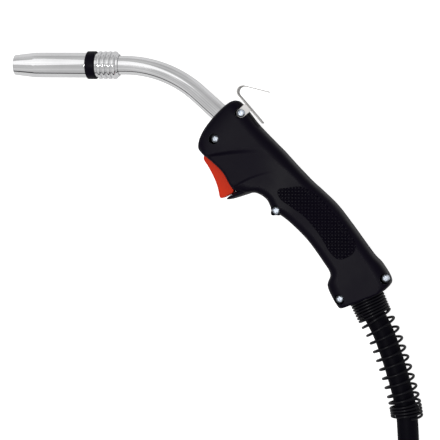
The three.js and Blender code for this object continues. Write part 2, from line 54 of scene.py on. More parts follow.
ORIGIN = np.array(JOINTS["trigger_pull"]["pos_m"]) - PIVOT * MM
FRONT_DIR = np.array(JOINTS["nozzle_pull_off"]["axis"])
BEND_START = np.array([-92.3, 147.4, 0.0])     # where the swan neck begins to bend
NECK_R, NECK_BORE_R = 9.0, 7.8
BEND_R = 110.0
FRONT_SLOPE, REAR_SLOPE = math.radians(0.7), math.radians(42)
SPRING_R, SPRING_END_R = 17.1, 15.3            # strain relief spring: in the handle's mouth, at its far end
SPRING_WIRE_R = 1.25
CABLE_R = 10.0
COIL = np.array([49.0, -365.0])                # middle of the wound cable
COIL_R = 120.0
TIE_THICK = 1.5
PLUG = np.array([-148.0, -385.0, 21.0 - HALF])   # rear end of the connector, on its axis
PLUG_AXIS = [0, 1, 0]


def placed(points):
    """Millimetre points of the torch's own frame, as metres in the shared frame."""
    return np.asarray(points, float) * MM + ORIGIN


# ---- camera ------------------------------------------------------------------------------------
VIEW_TOWARDS_CAMERA = np.array([0.182, 0.049, 1.0])
VIEW_DISTANCE = 1.425
VIEW_LENS, VIEW_SENSOR = 122.7, 36.0


def add_camera():
    """Stands almost straight above the torch's middle, with the picture's up along +Y."""
    back = Vector(VIEW_TOWARDS_CAMERA).normalized()
    right = Vector((0, 1, 0)).cross(back).normalized()
    up = back.cross(right)
    camera = bpy.data.objects.new("camera", bpy.data.cameras.new("camera"))
    camera.data.lens = VIEW_LENS
    camera.data.sensor_width = VIEW_SENSOR
    camera.data.clip_end = 20
    place = Matrix((right, up, back)).transposed().to_4x4()
    place.translation = Vector(ORIGIN) + back * VIEW_DISTANCE
    camera.matrix_world = place
    bpy.context.scene.collection.objects.link(camera)
    bpy.context.scene.camera = camera


# ---- mesh tools ----------------------------------------------------------------------------------
def unit(vectors):
    """The same vectors at length one."""
    return vectors / np.linalg.norm(vectors, axis=-1, keepdims=True)


def smoothstep(value):
    """0 below 0, 1 above 1, and a smooth rise between."""
    value = np.clip(value, 0, 1)
    return value * value * (3 - 2 * value)


def grid_faces(rows, cols, around=True, closed=False):
    """Quads of a grid of points; around joins its last column to the first, closed its last row."""
    row, col = np.meshgrid(np.arange(rows if closed else rows - 1),
                           np.arange(cols if around else cols - 1), indexing="ij")
    after, beside = (row + 1) % rows, (col + 1) % cols
    corners = [row * cols + col, row * cols + beside, after * cols + beside, after * cols + col]
    return np.stack(corners, -1).reshape(-1, 4)


def solid(name, points, faces, sharp=40):
    """A closed mesh from millimetre points, its doubles merged and its faces turned outwards."""
    mesh = bpy.data.meshes.new(name)
    mesh.from_pydata(placed(np.asarray(points).reshape(-1, 3)).tolist(), [], faces)
    work = bmesh.new()
    work.from_mesh(mesh)
    bmesh.ops.remove_doubles(work, verts=work.verts, dist=2e-7)
    bmesh.ops.recalc_face_normals(work, faces=work.faces)
    work.to_mesh(mesh)
    work.free()
    mesh.polygons.foreach_set("use_smooth", np.ones(len(mesh.polygons), bool))
    mesh.set_sharp_from_angle(angle=math.radians(sharp))
    piece = bpy.data.objects.new(name, mesh)
    bpy.context.scene.collection.objects.link(piece)
    return piece


def lofted(name, grid, around=True, closed=False, sharp=40):
    """A skin over rows of points; the first and last rows are filled unless the rows close up."""
    rows, cols = grid.shape[:2]
    faces = grid_faces(rows, cols, around, closed).tolist()
    if not closed:
        faces += [list(range(cols)), list(range((rows - 1) * cols, rows * cols))]
    return solid(name, grid, faces, sharp)


def rounded(corners, radius, steps=5, closed=False):
    """A polyline whose corners are cut back by up to radius and joined by parabolic arcs."""
    corners = np.asarray(corners, float)
    line = []
    count = len(corners)
    for i, corner in enumerate(corners):
        if not closed and i in (0, count - 1):
            line.append(corner[None])
            continue
        before, after = corners[i - 1] - corner, corners[(i + 1) % count] - corner
        cut = min(radius, 0.48 * np.linalg.norm(before), 0.48 * np.linalg.norm(after))
        start, end = corner + unit(before) * cut, corner + unit(after) * cut
        t = np.linspace(0, 1, steps)[:, None]
        line.append((1 - t) ** 2 * start + 2 * t * (1 - t) * corner + t ** 2 * end)
    return np.concatenate(line)


def catmull_rom(points, at):
    """Points at places from 0 to 1 along a Catmull-Rom curve, with an equal share for each span."""
    padded = np.concatenate([2 * points[[0]] - points[[1]], points, 2 * points[[-1]] - points[[-2]]])
    spans = len(points) - 1
    place = np.asarray(at) * spans
    k = np.clip(place.astype(int), 0, spans - 1)
    t = (place - k).reshape(-1, *[1] * (points.ndim - 1))
    a, b, c, d = (padded[k + i] for i in range(4))
    return 0.5 * (2 * b + (c - a) * t + (2 * a - 5 * b + 4 * c - d) * t ** 2
                  + (3 * b - a - 3 * c + d) * t ** 3)


def spline(points, count):
    """Catmull-Rom curve through the points, sampled evenly by length."""
    points = np.asarray(points, float)
    return resampled(catmull_rom(points, np.linspace(0, 1, 40 * (len(points) - 1) + 1)), count)


def resampled(line, count):
    """The same line with count points evenly spaced along it."""
    along = np.concatenate([[0], np.cumsum(np.linalg.norm(np.diff(line, axis=0), axis=1))])
    return read_off(line, along, np.linspace(0, along[-1], count))


def read_off(rows, places, at):
    """Rows that belong to rising places, read off between them."""
    return np.stack([np.interp(at, places, rows[:, i]) for i in range(rows.shape[1])], -1)


def length_of(line):
    """Length of a line of points."""
    return float(np.linalg.norm(np.diff(line, axis=0), axis=1).sum())


def frames_along(path):
    """Sideways and upward unit vectors at each point of a path that lies more or less level."""
    run = unit(np.gradient(path, axis=0))
    side = unit(np.cross(run, [0.0, 0.0, 1.0]))
    return side, np.cross(side, run)


def tube_grid(path, radius, sides=24):
    """Rings round a path: centre plus radius times cosine sideways and sine upwards."""
    side, up = frames_along(path)
    angle = np.linspace(0, 2 * np.pi, sides, endpoint=False)[None, :, None]
    radius = np.broadcast_to(radius, len(path))[:, None, None]
    return path[:, None] + radius * (np.cos(angle) * side[:, None] + np.sin(angle) * up[:, None])


def turned_grid(profile, foot, direction, sides=64, flutes=None):
    """Rings of radius r at height h along an axis; flutes(angle, h) is added to the radius."""
    direction = unit(np.asarray(direction, float))
    side = unit(np.cross(direction, [0.0, 0.0, 1.0]))
    up = np.cross(side, direction)
    radius, height = profile[:, 0][:, None], profile[:, 1][:, None]
    angle = np.linspace(0, 2 * np.pi, sides, endpoint=False)[None, :]
    if flutes is not None:
        radius = radius + flutes(angle, height)
    radius = radius[..., None] * np.ones((1, sides, 1))
    return (np.asarray(foot, float) + height[..., None] * direction
            + radius * (np.cos(angle)[..., None] * side + np.sin(angle)[..., None] * up))


def turned(name, profile, foot, direction, sides=64, ring=False, flutes=None, sharp=40):
    """A lathe piece: ring closes the profile on itself, otherwise it starts and ends on the axis."""
    grid = turned_grid(np.asarray(profile, float), foot, direction, sides, flutes)
    rows, cols = grid.shape[:2]
    return solid(name, grid, grid_faces(rows, cols, True, ring).tolist(), sharp)


def slab(name, outline, low, high, edge=0.0, steps=5, sharp=40):
    """A closed outline raised between two heights, its rims rolled over by a quarter circle."""
    outline = np.asarray(outline, float)
    ahead = np.roll(outline, -1, 0) - np.roll(outline, 1, 0)
    inward = unit(np.stack([-ahead[:, 1], ahead[:, 0]], -1))
    x, y = outline.T
    area = np.sum(x * np.roll(y, -1) - y * np.roll(x, -1))
    inward *= np.sign(area)
    turn = np.linspace(0, np.pi / 2, steps if edge else 1)
    inset = edge * (1 - np.sin(turn))
    drop = edge * (1 - np.cos(turn))
    insets = np.concatenate([inset, inset[::-1]])
    heights = np.concatenate([low + drop, high - drop[::-1]])
    ring = outline[None] + insets[:, None, None] * inward[None]
    height = np.broadcast_to(heights[:, None, None], (len(insets), len(outline), 1))
    return lofted(name, np.concatenate([ring, height], -1), sharp=sharp)


def boolean(piece, tool, operation):
    """Cuts or joins a tool into a piece and throws the tool away."""
    modifier = piece.modifiers.new("cut", "BOOLEAN")
    modifier.object = tool
    modifier.operation = operation
    modifier.solver = "MANIFOLD"
    seen = piece.evaluated_get(bpy.context.evaluated_depsgraph_get())
    made = bpy.data.meshes.new_from_object(seen)
    piece.modifiers.clear()
    piece.data = made
    made.polygons.foreach_set("use_smooth", np.ones(len(made.polygons), bool))
    made.set_sharp_from_angle(angle=math.radians(35))
    bpy.data.objects.remove(tool)
    return piece


def finish_piece(piece, body, slot_name, material, *nodes):
    """Gives a piece its material and body, and lets it stand for CAD nodes; slot_name is not used."""
    piece.data.materials.clear()
    piece.data.materials.append(material)
    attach(piece, body)
    if nodes:
        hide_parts(*nodes)
    return piece


# ---- cable route -----------------------------------------------------------------------------------
# X, Y and height above the surface; the first point is in the mouth of the handle.
LEAD_IN = np.array([
    [136.7, -65.0, 19.5], [140.0, -72.6, 19.5], [146.4, -86.8, 19.4], [154.9, -103.5, 19.0],
    [161.3, -120.6, 18.4], [166.5, -136.5, 17.9], [171.1, -152.4, 17.4], [174.8, -167.0, 17.0],
    [177.3, -181.0, 16.6], [178.6, -200.0, 15.2], [179.4, -225.0, 12.8], [179.5, -255.0, 11.8],
    [179.1, -275.0, 11.8], [179.0, -290.7, 11.8]])
LEAD_OUT = np.array([
    [-41.0, -485.0, 26.8], [-52.0, -484.9, 24.9], [-65.4, -483.5, 22.0], [-82.2, -479.0, 18.2],
    [-98.0, -471.6, 14.9], [-112.3, -461.6, 12.2], [-124.6, -449.3, 10.7], [-134.6, -435.0, 10.2],
    [-141.9, -420.0, 12.0], [-146.2, -405.0, 17.4], [-147.8, -393.0, 20.7], [-148.0, -385.8, 21.0]])
LAST_TURN_OFF = [[22.0, -485.0, 29.1], [-12.0, -485.0, 28.9]]
ABOVE_FLOOR = np.array([0.0, 0.0, -HALF])


def wound_turns():
    """Three turns and a quarter, clockwise: the outer one, the inner one, then one in the groove on top."""
    turn = np.linspace(0, 3.25, 120)
    inwards, upwards = (smoothstep((turn - start) / 0.28) for start in (0.86, 1.86))
    radius = COIL_R + CABLE_R * (1 - 2 * inwards + upwards)
    height = TIE_THICK + 0.3 + CABLE_R + 17.3 * upwards
    angle = -2 * np.pi * turn
    return np.stack([COIL[0] + radius * np.cos(angle), COIL[1] + radius * np.sin(angle), height], -1)


def add_cable(rubber, strap, black, brass):
    """The cable from the handle's mouth through its coil to the connector, with what goes along with it."""
    points = np.concatenate([LEAD_IN, wound_turns(), LAST_TURN_OFF, LEAD_OUT])
    path = spline(points, 1500) + ABOVE_FLOOR
    cable = lofted("cable", tube_grid(path, CABLE_R, 28))
    finish_piece(cable, "torch", "cable_rubber", rubber, "cable_lead_in", "cable_coil", "cable_lead_out")
    ties = add_ties(strap)
    plug = add_connector(black, brass, rubber)


def add_ties(strap):
    """Straps pulled round the coil: a flat band carried along a rounded outline of its section."""
    ties = []
    for number, angle in enumerate(np.radians([75, 165, 310]), 1):
        outline = rounded([[-20.9, 0.7], [20.9, 0.7], [20.9, 22.5], [11, 40.0], [-11, 40.0], [-20.9, 22.5]],
                          8, 7, closed=True)
        loop = resampled(np.concatenate([outline, outline[:1]]), 97)[:-1]
        ahead = np.roll(loop, -1, 0) - np.roll(loop, 1, 0)
        normal = unit(np.stack([ahead[:, 1], -ahead[:, 0]], -1))
        section = np.array([[-7, -0.6], [-6.6, -0.7], [6.6, -0.7], [7, -0.6],
                            [7, 0.6], [6.6, 0.7], [-6.6, 0.7], [-7, 0.6]])
        out = np.array([np.cos(angle), np.sin(angle)])
        side = np.array([-out[1], out[0]])
        reach = COIL_R + loop[:, None, 0] + section[None, :, 1] * normal[:, None, 0]
        height = loop[:, None, 1] + section[None, :, 1] * normal[:, None, 1]
        flat = COIL + reach[..., None] * out + section[None, :, 0, None] * side
        grid = np.concatenate([flat, height[..., None] - HALF], -1)
        tie = lofted(f"strap_tie_{number}", grid, closed=True)
        ties.append(finish_piece(tie, "torch", "tie_strap", strap, f"coil_tie_{number}"))
    return ties


def add_connector(black, brass, rubber):
    """The central connector, turned about Y: profiles of radius and height, from boot to wire pin."""
    boot = [[0, 0.4], [10.8, 0.4], [11.6, 1.4], [12.2, 6]]
    for y in 8 + 6 * np.arange(5):
        radius = 12.4 + 0.07 * (y - 8)
        boot += [[radius, y], [radius + 0.9, y + 0.8], [radius + 0.9, y + 3.2], [radius, y + 4]]
    boot += [[14.9, 41.4], [14.2, 42], [0, 42]]
    housing = rounded([[13, 42.3], [15.4, 42.3], [17.5, 50], [19.8, 62], [20.8, 84], [20.8, 103],
                       [18.6, 103], [18.6, 62], [13, 58]], 1.6, closed=True)
    core = [[0, 44], [12.4, 44], [12.4, 103.4], [16.6, 103.4], [17, 103.8], [17, 107], [16.6, 107.4],
            [12.4, 107.4], [12.4, 118], [0, 118]]
    nut = rounded([[12.9, 107.9], [19.6, 107.9], [20.6, 109], [20.6, 130.5], [20, 131.5], [17.4, 131.5],
                   [17.4, 111], [12.9, 111]], 0.5, closed=True)
    face = rounded([[5.9, 118.3], [16.4, 118.3], [16.4, 124], [5.9, 124]], 0.5, closed=True)
    pin = rounded([[2.4, 118.3], [5.5, 118.3], [5.5, 141.2], [4.2, 141.4], [4.2, 143.8], [5.5, 144],
                   [5.5, 148], [4.6, 149], [2.4, 149]], 0.3, closed=True)
    signal = rounded([[0, 120.8], [1.9, 120.8], [1.9, 132], [1.2, 133.5], [0, 133.8]], 0.5)
    bead = np.linspace(0, 2 * np.pi, 16, endpoint=False)
    seal = np.stack([5.1 + 0.8 * np.cos(bead), 142.6 + 0.8 * np.sin(bead)], -1)

    def grips(angle, height):
        inside = smoothstep((height - 66) / 3) * smoothstep((98 - height) / 3)
        return -0.5 * inside * smoothstep(np.cos(24 * angle) * 1.5) * (height > 60)

    def knurls(angle, height):
        inside = smoothstep((height - 109.5) / 1.5) * smoothstep((130 - height) / 1.5)
        return -0.7 * inside * smoothstep(0.5 - np.cos(20 * angle))

    def part(name, profile, slot_name, material, node, ring=False):
        piece = turned(name, profile, PLUG, PLUG_AXIS, ring=ring)
        return finish_piece(piece, "torch", slot_name, material, node)

    pieces = [
        part("plug_boot", boot, "cable_rubber", rubber, "connector_boot"),
        part("plug_core", core, "brass", brass, "connector_core"),
        part("plug_face", face, "black_plastic", black, "connector_face", ring=True),
        part("plug_wire_pin", pin, "brass", brass, "gas_and_wire_pin", ring=True),
        part("plug_seal", seal, "cable_rubber", rubber, "pin_seal_ring", ring=True),
    ]
    shell = fluted("plug_housing", housing, grips, 19.0)
    pieces.append(finish_piece(shell, "torch", "black_plastic", black, "connector_housing"))
    ring = fluted("plug_lock_nut", nut, knurls, 18.5)
    pieces.append(finish_piece(ring, "lock_nut", "black_plastic", black, "connector_nut"))
    for number, side in enumerate((-1, 1), 1):
        contact = turned(f"plug_signal_pin_{number}", signal, PLUG + [11 * side, 0, 0], PLUG_AXIS, 24)
        name = f"signal_pin_{number}"
        pieces.append(finish_piece(contact, name, "brass", brass, name))
    return pieces


def fluted(name, profile, cut, outside):
    """A lathe ring with the flutes cut only into its outer skin, where the radius passes outside."""
    dense = resampled(np.concatenate([profile, profile[:1]]), 161)[:-1]
    grid = turned_grid(dense, PLUG, PLUG_AXIS, 240,
                       lambda angle, height: cut(angle, height) * (dense[:, :1] > outside))
    return solid(name, grid, grid_faces(*grid.shape[:2], True, True).tolist(), 50)


# ---- front end -----------------------------------------------------------------------------------
def add_front_end(chrome, black, copper):
    """Nozzle, insulator, ribbed collar and tip, turned about the neck's front axis."""
    def part(name, profile, body, slot_name, material, node, sides=96, ring=True, sharp=40):
        piece = turned(name, profile, BEND_START, FRONT_DIR, sides, ring, sharp=sharp)
        return finish_piece(piece, body, slot_name, material, node)

    ribs = [[9.4, 5.4], [10.6, 5.4], [10.85, 5.65], [10.85, 7.2]]
    for y in 7.5 + 4.8 * np.arange(4):
        ribs += [[11.3, y], [12.7, y + 0.2], [13.2, y + 0.8], [13.35, y + 1.95], [13.2, y + 3.1],
                 [12.7, y + 3.7], [11.3, y + 3.9]]
    ribs += [[11.4, 27.6], [9.4, 27.6]]
    part("ribbed_collar", ribs, "torch", "chrome", chrome, "finned_collar")
    insulator = rounded([[8.2, 27.9], [13.4, 27.9], [13.4, 36.5], [10.2, 36.5], [10.2, 54.5], [8.2, 54.5]],
                        0.7, closed=True)
    part("insulator_ring", insulator, "torch", "black_plastic", black, "nozzle_insulator")
    bore = [[8.1, 109.4], [8.1, 93.4], [10.6, 80.5], [10.6, 36.8]]
    nozzle = np.concatenate([
        rounded([[10.6, 36.8], [12.0, 36.8], [12.0, 88.5], [9.7, 109.1], [8.9, 109.4]], 1.2, 7),
        rounded(bore, 1.0)])
    part("nozzle_cup", nozzle, "nozzle", "chrome", chrome, "gas_nozzle", sides=128, sharp=50)
    tip = rounded([[0.6, 78.3], [4, 78.3], [4, 97], [2.9, 104], [0.6, 104]], 0.4, closed=True)
    part("wire_tip", tip, "torch", "copper", copper, "contact_tip", 48)


def neck_path(start, end, count):
    """Straight, then an arc of the bend's radius, then straight into the handle, by distance."""
    s = np.linspace(start, end, count)
    bend = BEND_R * (REAR_SLOPE - FRONT_SLOPE)
    slope = FRONT_SLOPE + np.clip(s, 0, bend) / BEND_R
    x = BEND_START[0] + BEND_R * (np.sin(slope) - np.sin(FRONT_SLOPE))
    y = BEND_START[1] - BEND_R * (np.cos(FRONT_SLOPE) - np.cos(slope))
    before, after = np.minimum(s, 0), np.maximum(s - bend, 0)
    x = x + before * np.cos(FRONT_SLOPE) + after * np.cos(REAR_SLOPE)
    y = y - before * np.sin(FRONT_SLOPE) - after * np.sin(REAR_SLOPE)
    return np.stack([x, y, np.zeros_like(x)], -1)


def add_neck(chrome):
    """The bent tube, its bore joined to its outside at both ends."""
    end = BEND_R * (REAR_SLOPE - FRONT_SLOPE) + 34
    path = neck_path(-18, end, 90)
    outer, inner = tube_grid(path, NECK_R, 72), tube_grid(path, NECK_BORE_R, 72)
    neck = lofted("neck_tube", np.concatenate([outer, inner[::-1]]), closed=True)
    finish_piece(neck, "torch", "chrome", chrome, "neck_outer_tube")


# ---- handle --------------------------------------------------------------------------------------
# Each station joins a point on the handle's back edge to one on its front edge.
STATIONS = np.array([
    [[15.6, 115.4], [-20, 67]], [[24, 107], [-14, 62]], [[37, 90.5], [3.5, 46.6]],
    [[52, 75], [14, 30]], [[62, 65], [24, 25.5]], [[72, 54], [36, 26]],
    [[81, 44.5], [46, 20]], [[89, 36.5], [52, 9]], [[98, 28.5], [59, 5.5]],
    [[112, 15], [70, -3]], [[126, -3], [85, -18]], [[138, -19.5], [99, -37]],
    [[147, -31.5], [106, -49]], [[155, -40], [103.5, -60]], [[163, -55], [109, -73]],
    [[157, -64], [115, -82]]])
HANDLE_LONG = 150.0                            # along the stations, to turn millimetres into shares
WALL = 2.8
TRIGGER_HALF, SLOT_HALF = 7.5, 8.2
SCREWS = np.array([[22.2, 100.9], [-2.8, 76.9], [55.2, 9.9], [115.4, -72.3], [157.8, -52.3]])
SCREW_LOW, EAR_LOW, EAR_HIGH, EAR_HALF = 8.4, 11.3, 12.3, 4.2
HOOK_FROM = np.array([41.2, 91.8])
HOOK_RUN = np.array([-0.652, 0.758])
HOOK_OUT = np.array([0.758, 0.652])
REAR = np.array([139.5, -71.3, 0.0])
REAR_OUT = np.array([0.405, -0.914, 0.0])
GRIP = np.array([[57, 30.4], [81.3, 33.3], [97.5, 22.8], [111.5, 7.1], [123, -7.1], [132.4, -21.4],
                 [127.7, -30.9], [114.9, -36.1], [106.6, -28.5], [97.3, -11.9], [83.3, 4.8],
                 [69.3, 14.3], [58.9, 21.4]])
GRIP_DEPTH = 0.6
SQUARE = 3.4                                   # the section's superellipse power
FLATTEN = 1.06                                 # how far its top would rise past the flat
SWELL_REACH, SWELL_FADE = 5.6, 0.2             # the front end swells towards the neck, over this share


def section(count):
    """Across and height, each up to 1, of half a superellipse with a flat top, evenly spaced along it."""
    angle = np.linspace(0, np.pi, 4000)
    power, half_width = 2 / SQUARE, 28
    across = np.sign(np.cos(angle)) * np.abs(np.cos(angle)) ** power
    rise = np.minimum(FLATTEN * np.sign(np.sin(angle)) * np.abs(np.sin(angle)) ** power, 1)
    height = 1 - (1 - rise) ** 1.35
    line = resampled(np.stack([half_width * across, HALF * height], -1), count)
    return line[:, 0] / half_width, line[:, 1] / HALF


def upper_crease(x):
    """The arch over the finger hollow."""
    return 60.3 + 0.27 * (x + 12.5) - 0.0022 * (x + 12.5) ** 2


def lower_crease(x):
    """The arch under the finger hollow."""
    return 28.6 + 0.68 * (x - 12.5) - 0.0070 * (x - 12.5) ** 2


def hollow(x, y):
    """Depth of the finger hollow: full by the trigger, fading towards the back of the handle."""
    depth = 2.5 * (1 - smoothstep((x + 8) / 66))
    reach = np.clip(x + 12, 0, 60)
    under = smoothstep((upper_crease(x) - y) / (0.9 + 0.10 * reach))
    above = smoothstep((y - lower_crease(x)) / (0.8 + 0.03 * reach))
    return depth * under * above


def handle_grid(side, rows, cols, inset=0.0, ends=(0.0, 1.0), fillet=5.0, relief=True):
    """Rows of half sections along the handle, drawn in at both ends by quarter-circle fillets.

    The front end bows towards the neck, and the side meets the trigger squarely.
    """
    across, height = section(cols)
    turn = np.linspace(0, np.pi / 2, 8)
    front, rear = fillet, 0.5 * fillet
    start = ends[0] + front / HANDLE_LONG * (1 - np.cos(turn))
    finish = ends[1] - rear / HANDLE_LONG * (1 - np.cos(turn[::-1]))
    t = np.concatenate([start, np.linspace(start[-1], finish[0], rows)[1:-1], finish])
    drawn = np.concatenate([front * (1 - np.sin(turn)), np.zeros(rows - 2), rear * (1 - np.sin(turn[::-1]))])
    edges = catmull_rom(STATIONS, t)
    span = edges[:, 0] - edges[:, 1]
    width = np.linalg.norm(span, axis=1)
    direction = span / width[:, None]
    half_width = width / 2 - inset - drawn
    nose = np.maximum(0, 1 - t / 0.09)
    half_thick = HALF - 2.5 * nose ** 2 - inset - drawn
    centre = edges.mean(1)
    flat = centre[:, None] + (half_width[:, None] * across[None])[..., None] * direction[:, None]
    swell = SWELL_REACH * np.maximum(0, 1 - t / SWELL_FADE) ** 2
    bow = np.maximum(0, 1 - across ** 2) ** 0.6 * (1 - 0.3 * across)
    ahead = np.stack([-direction[:, 1], direction[:, 0]], -1)
    flat = flat + (swell[:, None] * bow[None])[..., None] * ahead[:, None]
    flush = smoothstep((t - 0.03) / 0.05) * smoothstep((0.24 - t) / 0.06)
    boxy = np.minimum(1, FLATTEN * np.maximum(0, 1 - np.abs(across) ** 9) ** (1 / 9))
    height = height + flush[:, None] * ((across < 0) * (boxy - height))[None]
    z = half_thick[:, None] * height
    if relief:
        z = z - hollow(flat[..., 0], flat[..., 1]) * smoothstep(z / 14)
    z = np.maximum(z, 0.12) * side
    return np.concatenate([flat, z[..., None]], -1)


def on_ear(local):
    """Points given out from the first screw and across the ear, as X and Y."""
    return SCREWS[0] + local[:, :1] * HOOK_OUT + local[:, 1:] * np.array([-HOOK_OUT[1], HOOK_OUT[0]])


def tongue(half, reach, low, high):
    """A flat bar with a round end about the first screw, running out past the back edge."""
    angle = np.linspace(np.pi / 2, 1.5 * np.pi, 24)
    end = half * np.stack([np.cos(angle), np.sin(angle)], -1)
    return slab("tool", on_ear(np.concatenate([end, [[reach, -half], [reach, half]]])), low, high)


def disc(x, y, radius, low, high):
    """A round tool between two heights."""
    angle = np.linspace(0, 2 * np.pi, 40, endpoint=False)
    return slab("tool", np.stack([x + radius * np.cos(angle), y + radius * np.sin(angle)], -1), low, high)


def rod(centre, direction, radius, reach):
    """A round tool that runs to both sides of its centre along a direction."""
    profile = np.array([[0, -reach], [radius, -reach], [radius, reach], [0, reach]])
    return turned("tool", profile, centre, direction)


def horn_grid(side):
    """The guard below the trigger: half ovals along a short curve, thinning to a rounded tip."""
    spine = spline([[39, 33.5], [29, 29.8], [20, 25.9], [13, 22.6], [7.4, 20.1]], 36)
    share = np.linspace(0, 1, len(spine))
    cap = np.sqrt(1 - 0.98 * share ** 8)
    half = np.interp(share, [0, 0.35, 0.6, 1], [2.4, 4.2, 3.4, 1.8]) * cap
    tall = np.interp(share, [0, 0.35, 0.6, 1], [11, 16.5, 15, 11]) * (0.55 + 0.45 * cap)
    run = unit(np.gradient(spine, axis=0))
    normal = np.stack([-run[:, 1], run[:, 0]], -1)
    angle = np.linspace(0, np.pi, 25)
    across = np.sign(np.cos(angle)) * np.abs(np.cos(angle)) ** 0.8
    flat = spine[:, None] + (half[:, None] * across)[..., None] * normal[:, None]
    z = np.maximum(tall[:, None] * np.sin(angle) ** 0.8, 0.12) * side
    return np.concatenate([flat, z[..., None]], -1)


def levels(side, low, high):
    """Two heights from the torch's plane, lower one first, on the given side of it."""
    return (low, high) if side > 0 else (-high, -low)


def grip_block(side):
    """Everything over the grip's outline, from well inside the handle to outside it."""
    return slab("tool", rounded(GRIP, 6, 7, closed=True), *levels(side, 8, HALF + 2))


def grip_pocket(side):
    """What is cut away for the grip: its block down to a skin just inside the handle's."""
    return boolean(grip_block(side), lofted("tool", handle_grid(side, 160, 80, GRIP_DEPTH)), "DIFFERENCE")


def add_shell(side, name, node, black):
    """One half of the handle: a solid half, hollowed, with every opening that the assembly needs."""
    shell = lofted(name, handle_grid(side, 330, 110), sharp=35)
    boss = rounded([[50.4, 5.2], [59.8, 5.2], [59.8, 14.6], [50.4, 14.6]], 2.2, closed=True)
    boolean(shell, lofted("tool", horn_grid(side)), "UNION")
    boolean(shell, slab("tool", boss, *levels(side, 0.12, 12.2), edge=0.8), "UNION")
    cavity = lofted("tool", handle_grid(side, 60, 40, WALL, (0.045, 0.975), 1.0, relief=False))
    boolean(shell, cavity, "DIFFERENCE")
    bend = BEND_R * (REAR_SLOPE - FRONT_SLOPE)
    neck = neck_path(bend, bend + 60, 2)
    boolean(shell, rod(neck.mean(0), neck[1] - neck[0], NECK_R + 0.35, 34), "DIFFERENCE")
    boolean(shell, rod(REAR, REAR_OUT, SPRING_R + 0.6, 14), "DIFFERENCE")
    slot = [[-26, 57], [-17, 61.5], [-11, 71], [1, 72], [6, 62], [14, 50], [22, 35], [18, 27],
            [13, 24.5], [7, 21.5], [4, 19.7], [0, 17]]
    boolean(shell, slab("tool", slot, -SLOT_HALF, SLOT_HALF), "DIFFERENCE")
    boolean(shell, grip_pocket(side), "DIFFERENCE")
    if side > 0:
        for x, y in SCREWS[1:]:
            boolean(shell, disc(x, y, 4.9, SCREW_LOW - 0.3, HALF + 2), "DIFFERENCE")
        boolean(shell, tongue(EAR_HALF + 0.8, 20, EAR_LOW - 0.3, HALF + 1), "DIFFERENCE")
    return finish_piece(shell, "torch", "black_plastic", black, node)


def add_grip(side, name, black):
    """Rows of low pyramids that fill the grip's pocket, trimmed to its outline."""
    pitch, base, top, high = 3.1, 1.5, 0.55, 0.9
    x, y = np.meshgrid(np.arange(50, 140, pitch), np.arange(-40, 40, pitch))
    spots = np.stack([x.ravel(), y.ravel()], -1)
    skin = handle_grid(side, 160, 60, GRIP_DEPTH).reshape(-1, 3)
    skin = skin[np.abs(skin[:, 2]) > 8]
    away = ((spots[:, None] - skin[None, :, :2]) ** 2).sum(-1)
    on_skin = away.min(1) < 4
    spots, z = spots[on_skin], skin[away.argmin(1), 2][on_skin]
    corner = np.array([[-1, -1], [1, -1], [1, 1], [-1, 1]], float)

    def ring(half, lift):
        height = np.broadcast_to((z + side * lift)[:, None, None], (len(z), 4, 1))
        return np.concatenate([spots[:, None] + half * corner, height], -1)

    points = np.concatenate([ring(base, -0.8), ring(base, 0.0), ring(top, high)], 1)
    quads = np.concatenate([grid_faces(3, 4), [[0, 1, 2, 3], [8, 9, 10, 11]]])
    faces = (quads[None] + 12 * np.arange(len(z))[:, None, None]).reshape(-1, 4)
    grip = solid(name, points, faces.tolist(), 20)
    boolean(grip, grip_block(side), "INTERSECT")
    return finish_piece(grip, "torch", "black_plastic", black)


def add_screws(zinc):
    """Pan heads with a cross recess, each one the same mesh carried to its place."""
    for number, (x, y) in enumerate(SCREWS, 1):
        low = SCREW_LOW if number > 1 else EAR_HIGH + 0.05
        head = rounded([[0, -13 - low], [1.6, -12 - low], [1.6, 0], [3.8, 0], [3.8, 1.3],
                        [2.6, 2.5], [0, 2.7]], 0.8)
        screw = turned(f"pan_screw_{number}", head, [x, y, low], [0, 0.0001, 1], 40)
        for turn in (0.4, 0.4 + np.pi / 2):
            run = np.array([np.cos(turn), np.sin(turn)])
            wide = np.array([-run[1], run[0]])
            corners = np.array([[-2.5, -0.6], [2.5, -0.6], [2.5, 0.6], [-2.5, 0.6]])
            outline = np.array([x, y]) + corners[:, :1] * run + corners[:, 1:] * wide
            boolean(screw, slab("tool", outline, low + 0.7, low + 4), "DIFFERENCE")
        finish_piece(screw, "torch", "screw_steel", zinc, f"handle_screw_{number}")


